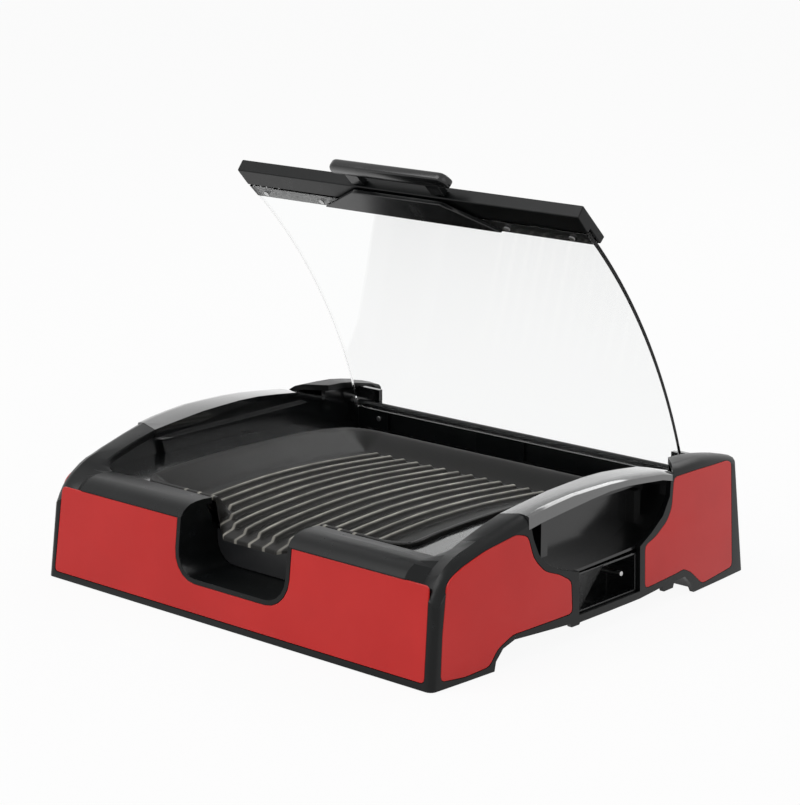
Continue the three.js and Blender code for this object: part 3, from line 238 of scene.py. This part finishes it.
# Lines of the plate's grid: beside the middle of each rib, beside an outer edge,
# from where the border starts, and the spans of rows with the step in each
RIB_COLUMNS = (0.0, RIB_CREST, 0.0014, 0.0019, 0.0024, 0.0029, RIB_FLANK, 0.0056)
EDGE_GAPS = (0.0, 0.00015, 0.0004, 0.0010, 0.0020)
BORDER_START, COLUMN_STEP, LEAST_GAP = 0.1010, 0.003, 0.00005
FRONT_GAP, REAR_GAP = 0.0004, 0.0025
ROW_SPANS = [
    (LIP_FRONT + PLATE_LEDGE, LIP_BREAK - LIP_KINK_GAP, 0.0015),
    (LIP_BREAK - LIP_KINK_GAP, PLATE_FRONT - FRONT_GAP, 0.0008),
    (PLATE_FRONT + PLATE_LEDGE, RIB_FRONT, 0.0011),
    (RIB_FRONT, RIB_FRONT + RIB_RUN, 0.0006),
    (RIB_FRONT + RIB_RUN, RIB_REAR - RIB_RUN, 0.005),
    (RIB_REAR - RIB_RUN, RIB_REAR, 0.0006),
    (RIB_REAR, DISH_REAR, 0.0025),
    (DISH_REAR, PLATE_REAR - REAR_GAP, 0.0022),
]

# Height of the ribs' crests and of the plate's border, from front to rear
RIB_LINE = [
    (-0.1751, 0.0681), (-0.1600, 0.0714), (-0.1501, 0.0734), (-0.1310, 0.0758), (-0.1100, 0.0773),
    (-0.0899, 0.0785), (-0.0600, 0.0796), (-0.0270, 0.0792), (0.0000, 0.0782), (0.0171, 0.0771),
    (0.0401, 0.0752), (0.0600, 0.0735), (0.0750, 0.0720), (0.1201, 0.0680),
]
BORDER_LINE = [
    (-0.1751, 0.0860), (-0.1600, 0.0865), (-0.1399, 0.0880), (-0.1120, 0.0900), (-0.0800, 0.0910),
    (-0.0411, 0.0912), (0.0000, 0.0903), (0.0330, 0.0890), (0.0600, 0.0870), (0.0780, 0.0850),
    (0.0951, 0.0825), (0.1120, 0.0795), (0.1251, 0.0770),
]

# Finishes

# Span of a cloudy pattern over which one colour turns into the other
PATCHES = (0.3, 0.7)


def matte_plastic():
    """Frame, strip and covers: fine grain, rubbed a little lighter in patches."""
    dark, light, rubbed = (0.0016, 0.0020, 0.0022), (0.0034, 0.0040, 0.0042), (0.011, 0.013, 0.014)
    paint = Paint("matte_plastic")
    grain = paint.noise(0.0009, 2.0)
    cloud = paint.noise(0.06, 3.0)
    rub = paint.noise(0.011, 4.0, 0.6).between(0.52, 0.74)
    colour = paint.mix(cloud.between(*PATCHES), dark, light)
    colour = paint.mix(rub * 0.3, colour, rubbed)
    return paint.finish(
        Base_Color=colour,
        Roughness=0.25 + 0.08 * cloud + 0.05 * grain - 0.05 * rub,
        Normal=paint.bump(grain, 0.00008, 0.25),
        Specular_IOR_Level=0.22,
    )


def gloss_plastic():
    """Well, handle and recesses: smeared gloss, mirror-like where it faces up."""
    black, dusty = (0.0045, 0.0049, 0.0052), (0.020, 0.020, 0.020)
    paint = Paint("gloss_plastic")
    wave = paint.noise(0.016, 2.0)
    smear = paint.noise(0.035, 4.0, 0.6, paint.stretched((1.0, 0.35, 1.0)))
    dust = paint.noise(0.0012, 2.0).between(0.66, 0.78)
    return paint.finish(
        Base_Color=paint.mix(dust * 0.5, black, dusty),
        Roughness=0.17 + 0.12 * smear.between(0.42, 0.75) + 0.08 * dust,
        Normal=paint.bump(wave, 0.00010, 0.08),
        Specular_IOR_Level=0.50,
        Coat_Weight=paint.facing_up(), Coat_Roughness=0.08,
    )


def polished_plastic():
    """The bridges beside the bowls, shinier than the well."""
    black, dusty = (0.006, 0.0065, 0.007), (0.035, 0.035, 0.035)
    paint = Paint("polished_plastic")
    wave = paint.noise(0.03, 2.0)
    smear = paint.noise(0.03, 4.0, 0.6, paint.stretched((1.0, 0.3, 1.0))).between(0.45, 0.8)
    dust = paint.noise(0.0011, 2.0).between(0.68, 0.78)
    return paint.finish(
        Base_Color=paint.mix(dust * 0.5, black, dusty),
        Roughness=0.10 + 0.10 * smear + 0.08 * dust,
        Normal=paint.bump(wave, 0.00015, 0.12),
        Specular_IOR_Level=1.0, Coat_Weight=1.0, Coat_Roughness=0.05,
    )


def red_plastic():
    """Panels: clear red with soft clouds, fine flecks and upright smears."""
    dark, light, flecked = (0.530, 0.0150, 0.0130), (0.590, 0.0200, 0.0175), (0.620, 0.045, 0.040)
    paint = Paint("red_plastic")
    wave = paint.noise(0.03, 2.0)
    cloud = paint.noise(0.09, 3.0)
    fleck = paint.noise(0.0008, 2.0).between(0.62, 0.75)
    smear = paint.noise(0.03, 4.0, 0.6, paint.stretched((0.4, 0.4, 1.0)))
    colour = paint.mix(cloud.between(*PATCHES), dark, light)
    colour = paint.mix(fleck * 0.1, colour, flecked)
    return paint.finish(
        Base_Color=colour,
        Roughness=0.28 + 0.10 * smear.between(0.35, 0.75),
        Normal=paint.bump(wave, 0.0002, 0.08),
        Specular_IOR_Level=0.28,
    )


# Ribbed field of the plate: how softly it ends, and how far from the middle of
# a rib the painted highlight on its crest fades out and the painted shade in its groove fades in
FIELD_FADE, REAR_FADE = 0.001, 0.004
CREST_HIGHLIGHT, GROOVE_SHADE = (0.0006, 0.0021), (0.0030, 0.0042)


def plate_coating():
    """Dark non-stick coat, with a painted highlight along the crests of the ribs, painted shade in
    their grooves and a painted darker border.
    """
    dark, light, specked = (0.0085, 0.0080, 0.0068), (0.0130, 0.0122, 0.0104), (0.040, 0.038, 0.034)
    border, shaded, painted_highlight = (0.0020, 0.0019, 0.0017), (0.0035, 0.0033, 0.0028), (0.400, 0.385, 0.340)
    paint = Paint("plate_coating")
    grit = paint.noise(0.0007, 3.0, 0.6)
    fleck = paint.speckle(0.0016)
    cloud = paint.noise(0.05, 4.0, 0.6)
    highlight_patches = paint.noise(0.014, 5.0, 0.65, paint.stretched((1.0, 0.4, 1.0))).between(0.40, 0.70)
    across, along, _ = paint.axes()
    inside = 1.0 - across.size().between(RIB_FIELD - FIELD_FADE, RIB_FIELD + FIELD_FADE)
    inside = inside * along.between(RIB_REAR, RIB_REAR - REAR_FADE)
    crest = 1.0 - across.phase(RIB_PITCH).between(*CREST_HIGHLIGHT)
    groove = across.phase(RIB_PITCH).between(*GROOVE_SHADE)
    colour = paint.mix(cloud.between(*PATCHES), dark, light)
    colour = paint.mix((1.0 - fleck.between(0.05, 0.22)) * 0.40, colour, specked)
    # painted reflection: outside the ribbed field the plate is painted darker, in place of the dark
    # surroundings its border reflects
    colour = paint.mix((1.0 - inside) * 0.85, colour, border)
    # painted shade: the grooves between the ribs are painted darker
    colour = paint.mix(groove * inside * 0.65, colour, shaded)
    # painted highlight: the crests of the ribs are painted lighter, in patches, in place of the light
    # they catch
    colour = paint.mix(crest * inside * (0.45 + 0.55 * highlight_patches), colour, painted_highlight)
    return paint.finish(
        Base_Color=colour,
        Roughness=0.36 + 0.14 * cloud,
        Normal=paint.bump(grit, 0.00010, 0.4),
        Specular_IOR_Level=0.20,
    )


def clear_glass():
    """Pane: clear, with a faint wave and haze."""
    paint = Paint("clear_glass")
    wave = paint.noise(0.09, 2.0)
    haze = paint.noise(0.05, 4.0, 0.6).between(0.55, 0.85)
    return paint.finish(
        Base_Color=(0.994, 1.0, 0.998),
        Roughness=0.02 * haze,
        Normal=paint.bump(wave, 0.0001, 0.05),
        Transmission_Weight=1.0, IOR=1.25,
    )


STEEL_DARKEST = 0.72


def steel(name, tone, grain, rough):
    """Rolled or turned steel, with its grain along X."""
    paint = Paint(name)
    lines = paint.noise(grain, 3.0, 0.6, paint.stretched((0.08, 1.0, 1.0)))
    cloud = paint.noise(0.03, 3.0)
    dark = (tone * STEEL_DARKEST,) * 3
    return paint.finish(
        Base_Color=paint.mix(0.5 * lines + 0.5 * cloud, dark, (tone,) * 3),
        Metallic=1.0,
        Roughness=rough + 0.12 * lines + 0.10 * cloud,
        Normal=paint.bump(lines, 0.00008, 0.5),
    )


def heater_steel():
    """Element: scaled steel, browned by heat in patches."""
    brown, grey = (0.11, 0.085, 0.065), (0.17, 0.155, 0.16)
    paint = Paint("heater_steel")
    heat = paint.noise(0.04, 3.0).between(0.35, 0.65)
    scale = paint.noise(0.002, 4.0, 0.6)
    return paint.finish(
        Base_Color=paint.mix(heat, brown, grey),
        Metallic=0.85,
        Roughness=0.38 + 0.25 * scale,
        Normal=paint.bump(scale, 0.0001, 0.5),
    )


def tray_enamel():
    """Tray: dark enamel with fine pits."""
    dark, light = (0.016, 0.017, 0.019), (0.027, 0.028, 0.030)
    paint = Paint("tray_enamel")
    cloud = paint.noise(0.04, 3.0)
    pits = paint.noise(0.0012, 2.0)
    return paint.finish(
        Base_Color=paint.mix(cloud, dark, light),
        Roughness=0.32 + 0.15 * cloud,
        Normal=paint.bump(pits, 0.0001, 0.4),
    )


def foot_rubber():
    dark, light = (0.012, 0.012, 0.012), (0.026, 0.025, 0.024)
    paint = Paint("foot_rubber")
    grain = paint.noise(0.0008, 3.0)
    cloud = paint.noise(0.008, 3.0)
    return paint.finish(
        Base_Color=paint.mix(cloud, dark, light),
        Roughness=0.78 + 0.15 * grain,
        Normal=paint.bump(grain, 0.0002, 0.6),
    )


FINISHES = {
    "matte_black": matte_plastic(),
    "gloss_black": gloss_plastic(),
    "polished_black": polished_plastic(),
    "red_gloss": red_plastic(),
    "plate_coating": plate_coating(),
    "clear_glass": clear_glass(),
    "sheet_steel": steel("sheet_steel", 0.56, 0.0012, 0.22),
    "fastener_steel": steel("fastener_steel", 0.62, 0.0006, 0.20),
    "tray_coating": tray_enamel(),
    "element_steel": heater_steel(),
    "foot_rubber": foot_rubber(),
}

# Pieces made from the frame's solids

# Edges turn sharp past this angle, and only those are rounded
SHARP = math.radians(28)
ELEMENT_SHARP = math.radians(60)
WELD = 2e-6
TOUCH = 1e-7
FLAT = math.radians(0.4)
EDGE_SEGMENTS = 2

# Radius of the rounded edges of each moulding or sheet, by the start of its name
EDGE_RADIUS = {
    "base_housing": 0.0006, "inner_deck": 0.0004, "socket_housing": 0.0004,
    "drip_tray": 0.0004, "lid_strip": 0.0010, "lid_grip_block": 0.0008, "lid_handle": 0.0010,
    "lid_hinge_bar": 0.0005, "bottom_cover": 0.0004, "heat_reflector": 0.0003,
    "panel_": 0.0006, "rim_bridge_": 0.0007, "hand_recess_": 0.0004, "hinge_clip_": 0.0003,
    "hinge_screw_": 0.0003, "strip_screw_": 0.0003, "cover_screw_": 0.0003, "foot_": 0.0005,
    "terminal_pin_": 0.0006, "hinge_pin_": 0.0003, "element_bracket_": 0.0002,
}

# Nodes whose surface is shinier than the rest of their slot
SHINIER = {"rim_bridge_right": "polished_black", "rim_bridge_left": "polished_black"}


def edge_radius(node):
    return next((size for start, size in EDGE_RADIUS.items() if node.startswith(start)), 0.0)


def finish_of(node):
    return FINISHES[SHINIER.get(node, NODE_SLOT[node])]


def merged_copy(node):
    """A bmesh of a frame node with its loose corners joined."""
    shape = bmesh.new()
    shape.from_mesh(frame["nodes"][node].data)
    bmesh.ops.remove_doubles(shape, verts=shape.verts, dist=WELD)
    bmesh.ops.dissolve_limit(
        shape, angle_limit=FLAT, verts=shape.verts, edges=shape.edges, delimit={"NORMAL"},
    )
    return shape


def make_piece(shape, node, radius=0.0, sharp=SHARP):
    """Puts a bmesh in the scene as the piece that stands for a node."""
    name = node + "_finished"
    for face in shape.faces:
        face.smooth = True
    for edge in shape.edges:
        if len(edge.link_faces) == 2:
            edge.smooth = edge.calc_face_angle() < sharp
    mesh = bpy.data.meshes.new(name)
    shape.to_mesh(mesh)
    shape.free()
    piece = bpy.data.objects.new(name, mesh)
    bpy.context.collection.objects.link(piece)
    mesh.materials.append(finish_of(node))
    if radius:
        edge_bevel = piece.modifiers.new("edges", "BEVEL")
        edge_bevel.width = radius
        edge_bevel.segments = EDGE_SEGMENTS
        edge_bevel.limit_method = "ANGLE"
        edge_bevel.angle_limit = SHARP
        edge_bevel.use_clamp_overlap = True
        edge_bevel.harden_normals = True
    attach(piece, NODE_BODY[node])
    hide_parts(node)


# Cooking plate

def line_height(points, y):
    """Height at y of a line through points, level past its ends."""
    for (y0, z0), (y1, z1) in zip(points, points[1:]):
        if y <= y1:
            return z0 + (z1 - z0) * max(y - y0, 0.0) / (y1 - y0)
    return points[-1][1]


def part_way(value, low, high):
    """0 at low, 1 at high, straight between and level past both."""
    return min(max((value - low) / (high - low), 0.0), 1.0)


def eased(value, low, high):
    """0 at low, 1 at high, with soft ends."""
    part = part_way(value, low, high)
    return part * part * (3.0 - 2.0 * part)


def rib_start(column):
    """Front end of a rib; those in the pouring lip run out to its slanting sides."""
    reach = abs(column) * RIB_PITCH + RIB_BASE
    if reach >= LIP_HALF + LIP_FADE:
        return RIB_FRONT
    slant = (reach - LIP_TIP_HALF) / (LIP_HALF - LIP_TIP_HALF) * (PLATE_FRONT - LIP_FRONT) + LIP_FRONT
    return max(LIP_BREAK - LIP_KINK_GAP, slant + LIP_SIDE_GAP)


def rib_rise(x, y):
    """Height of the nearest rib above the floor of the dish."""
    column = min(max(round(x / RIB_PITCH), -RIB_LAST), RIB_LAST)
    start = rib_start(column)
    across = 1.0 - eased(abs(x - column * RIB_PITCH), RIB_CREST, RIB_FLANK)
    run = eased(y, start, start + RIB_RUN) * (1.0 - eased(y, RIB_REAR - RIB_RUN, RIB_REAR))
    return RIB_HEIGHT * across * run


def edge_distance(x, y):
    """How far a point of the plate lies inside its outline."""
    x = abs(x)
    if y < PLATE_FRONT + PLATE_ROUND and x < LIP_HALF + PLATE_ROUND:
        rise, run = PLATE_FRONT - LIP_FRONT, LIP_HALF - LIP_TIP_HALF
        slant = ((LIP_TIP_HALF - x) * rise + (y - LIP_FRONT) * run) / math.hypot(rise, run)
        return max(min(slant, y - LIP_FRONT), 0.0)
    centre = (PLATE_FRONT + PLATE_REAR) / 2
    side = x - PLATE_HALF + PLATE_CORNER
    end = abs(y - centre) - (PLATE_REAR - PLATE_FRONT) / 2 + PLATE_CORNER
    if y < centre and x < LIP_HALF:
        end = -1.0
    outside = math.hypot(max(side, 0.0), max(end, 0.0)) + min(max(side, end), 0.0)
    return max(PLATE_CORNER - outside, 0.0)


def dish_height(x, y):
    """Height of the plate without its ribs."""
    floor = line_height(RIB_LINE, max(y, LIP_BREAK)) - RIB_HEIGHT
    if y < LIP_BREAK:
        floor += (LIP_TIP - floor) * (LIP_BREAK - y) / (LIP_BREAK - LIP_FRONT)
    side = part_way(abs(x), DISH_HALF, PLATE_HALF - PLATE_LEDGE)
    rear = part_way(y, DISH_REAR, PLATE_REAR - PLATE_LEDGE)
    front = part_way(y, DISH_FRONT, PLATE_FRONT + PLATE_LEDGE) * part_way(
        abs(x), LIP_HALF, LIP_HALF + LIP_FADE)
    slope = min(1.0, math.hypot(side, max(rear, front)))
    slope = (1.0 - SLOPE_EASE) * slope + SLOPE_EASE * eased(slope, 0.0, 1.0)
    return floor + (line_height(BORDER_LINE, y) - floor) * slope


def plate_height(x, y):
    """Height of the plate's upper face, rounded down at its outline."""
    gap = PLATE_ROUND - min(edge_distance(x, y), PLATE_ROUND)
    drop = PLATE_ROUND - math.sqrt(PLATE_ROUND ** 2 - gap ** 2)
    return dish_height(x, y) + rib_rise(x, y) - drop


def evenly(low, high, step):
    """Places from low up to high, without high, about one step apart."""
    count = max(1, round((high - low) / step))
    return [low + (high - low) * i / count for i in range(count)]


def plate_columns():
    right = {LIP_HALF, LIP_HALF + LIP_FADE / 2, LIP_HALF + LIP_FADE}
    for column in range(RIB_LAST + 1):
        for offset in RIB_COLUMNS:
            right.add(abs(column * RIB_PITCH - offset))
            right.add(column * RIB_PITCH + offset)
    right.update(evenly(BORDER_START, DISH_HALF, COLUMN_STEP))
    right.update(evenly(DISH_HALF, PLATE_HALF - PLATE_LEDGE, COLUMN_STEP))
    right.update(PLATE_HALF - gap for gap in (*EDGE_GAPS, PLATE_LEDGE))
    lines = sorted(right)
    lines = [x for i, x in enumerate(lines) if i == 0 or x - lines[i - 1] > LEAST_GAP]
    return [-x for x in reversed(lines) if x] + lines


def plate_rows():
    rows = {edge + gap for edge in (LIP_FRONT, PLATE_FRONT) for gap in EDGE_GAPS}
    rows.update(PLATE_REAR - gap for gap in EDGE_GAPS)
    for low, high, step in ROW_SPANS:
        rows.update(evenly(low, high, step))
    return sorted(rows)


def cut_off(shape, faces, point, away):
    """Cuts these faces along an upright plane and drops what lies beyond it."""
    parts = set(faces)
    for face in faces:
        parts.update(face.edges)
        parts.update(face.verts)
    bmesh.ops.bisect_plane(
        shape, geom=list(parts), dist=TOUCH, plane_co=(*point, 0.0), plane_no=(*away, 0.0),
        clear_outer=True,
    )


def faces_where(shape, test):
    """The faces whose middle passes a test of x and y."""
    return [face for face in shape.faces if test(*face.calc_center_median().xy)]


def trim_plate(shape):
    """Slants the sides of the lip and rounds the four corners."""
    rise, run = PLATE_FRONT - LIP_FRONT, LIP_HALF - LIP_TIP_HALF
    middle_x = PLATE_HALF - PLATE_CORNER
    for side in (-1, 1):
        lip = faces_where(shape, lambda x, y: y < PLATE_FRONT and x * side > LIP_SIDE)
        cut_off(shape, lip, (side * LIP_TIP_HALF, LIP_FRONT), (side * rise, -run))
        for end, edge in ((-1, PLATE_FRONT), (1, PLATE_REAR)):
            middle_y = edge - end * PLATE_CORNER
            for step in range(CORNER_CUTS):
                turn = math.pi / 2 * (step + 0.5) / CORNER_CUTS
                away = (side * math.cos(turn), end * math.sin(turn))
                touch = (side * middle_x + away[0] * PLATE_CORNER, middle_y + away[1] * PLATE_CORNER)
                corner = faces_where(
                    shape, lambda x, y: x * side > middle_x and (y - middle_y) * end > 0.0,
                )
                cut_off(shape, corner, touch, away)


def plate_sheet():
    """A grid drawn to the plate's columns and rows and lifted to its height."""
    shape = bmesh.new()
    columns, rows = plate_columns(), plate_rows()
    across, along = len(columns) - 1, len(rows) - 1
    bmesh.ops.create_grid(shape, x_segments=across, y_segments=along, size=1.0)
    beside_lip = []
    for vert in shape.verts:
        x = columns[round((vert.co.x + 1.0) / 2 * across)]
        y = rows[round((vert.co.y + 1.0) / 2 * along)]
        vert.co = (x, y, plate_height(x, y))
        if y < PLATE_FRONT - WELD and abs(x) > LIP_HALF + WELD:
            beside_lip.append(vert)
    bmesh.ops.delete(shape, geom=beside_lip, context="VERTS")
    return shape


def add_underside(shape):
    """Draws the sheet up off a copy, which then drops by the skin, without the ribs."""
    below = list(shape.verts)
    bmesh.ops.extrude_face_region(shape, geom=shape.faces[:])
    for vert in below:
        vert.co.z = dish_height(vert.co.x, vert.co.y) - PLATE_SKIN
    bmesh.ops.recalc_face_normals(shape, faces=shape.faces)


def make_plate(node):
    shape = plate_sheet()
    trim_plate(shape)
    add_underside(shape)
    make_piece(shape, node)


# Lid pane: centre, middle radius and thickness of its curve, and its two ends
PANE_CENTRE = (-0.31975, -0.05126)
PANE_RADIUS, PANE_THICK, PANE_HALF = 0.4892, 0.004, 0.181
PANE_FOOT = (0.14980, 0.08600)
PANE_TIP = (0.01460, 0.30585)
PANE_STEPS, PANE_EDGE = 64, 0.0006


def make_pane(node):
    """The curved pane: the outline of its lower edge, spun up to its free edge."""
    shape = bmesh.new()
    start, end = (
        math.atan2(z - PANE_CENTRE[1], y - PANE_CENTRE[0]) for y, z in (PANE_FOOT, PANE_TIP)
    )
    corners = []
    for x, out in ((-1, -1), (1, -1), (1, 1), (-1, 1)):
        radius = PANE_RADIUS + out * PANE_THICK / 2
        y = PANE_CENTRE[0] + radius * math.cos(start)
        z = PANE_CENTRE[1] + radius * math.sin(start)
        corners.append(shape.verts.new((x * PANE_HALF, y, z)))
    outline = [shape.edges.new(pair) for pair in zip(corners, corners[1:] + corners[:1])]
    bmesh.ops.spin(
        shape, geom=corners + outline, cent=(0.0, *PANE_CENTRE), axis=(1.0, 0.0, 0.0),
        angle=end - start, steps=PANE_STEPS,
    )
    bmesh.ops.holes_fill(shape, edges=shape.edges)
    bmesh.ops.recalc_face_normals(shape, faces=shape.faces)
    make_piece(shape, node, PANE_EDGE)


def make_element(node):
    make_piece(merged_copy(node), node, sharp=ELEMENT_SHARP)


OWN_PIECES = {"grill_plate": make_plate, "lid_glass": make_pane, "heating_element": make_element}


def dress_nodes():
    """Each node gets a copy with rounded edges, unless it has a piece of its own."""
    for node in frame["nodes"]:
        if node in OWN_PIECES:
            OWN_PIECES[node](node)
        else:
            make_piece(merged_copy(node), node, edge_radius(node))


# Room

FLOOR_SIZE = 6.0
FLOOR_COLOUR = (0.78, 0.78, 0.78, 1.0)
FLOOR_GLOW = 0.93
WORLD_LEVEL = 0.55
WHITE = (1.0, 1.0, 1.0, 1.0)

# Soft lamps: name, place, size and power
LAMP_AIM = (0.0, 0.0, 0.1)
LAMPS = [
    ("key", (-0.9, -1.6, 2.2), (1.6, 1.6), 26.0),
    ("fill", (1.9, -0.6, 1.5), (1.4, 1.4), 4.5),
    ("back", (0.2, 1.9, 1.9), (1.8, 1.0), 16.0),
]


def soft_light(name, place, size, power):
    data = bpy.data.lights.new(name, "AREA")
    data.shape = "RECTANGLE"
    data.size, data.size_y = size
    data.energy = power
    lamp = bpy.data.objects.new(name, data)
    lamp.location = place
    direction = Vector(LAMP_AIM) - Vector(place)
    lamp.rotation_euler = direction.to_track_quat("-Z", "Y").to_euler()
    bpy.context.collection.objects.link(lamp)


def lay_floor():
    shape = bmesh.new()
    bmesh.ops.create_grid(shape, x_segments=1, y_segments=1, size=FLOOR_SIZE)
    mesh = bpy.data.meshes.new("floor")
    shape.to_mesh(mesh)
    shape.free()
    floor = bpy.data.objects.new("floor", mesh)
    bpy.context.collection.objects.link(floor)
    paint = Paint("pale_floor")
    paper = paint.node("ShaderNodeBsdfDiffuse", {}, {"Color": FLOOR_COLOUR})
    glow = paint.node("ShaderNodeEmission", {}, {"Color": WHITE, "Strength": 1.0})
    shade = paint.node(
        "ShaderNodeMixShader", {}, {0: paint.seen_directly() * FLOOR_GLOW, 1: paper, 2: glow},
    )
    paint.node("ShaderNodeOutputMaterial", {}, {"Surface": shade})
    mesh.materials.append(paint.material)


def light_world():
    world = bpy.data.worlds.new("studio")
    bpy.context.scene.world = world
    room = Nodes(world)
    dim = room.node("ShaderNodeBackground", {}, {"Color": WHITE, "Strength": WORLD_LEVEL})
    white = room.node("ShaderNodeBackground", {}, {"Color": WHITE, "Strength": 1.0})
    choice = room.node("ShaderNodeMixShader", {}, {0: room.seen_directly(), 1: dim, 2: white})
    room.node("ShaderNodeOutputWorld", {}, {"Surface": choice})


place_camera()
dress_nodes()
lay_floor()
light_world()
for lamp_name, lamp_place, lamp_size, lamp_power in LAMPS:
    soft_light(lamp_name, lamp_place, lamp_size, lamp_power)
bpy.context.scene.view_settings.view_transform = "Standard"
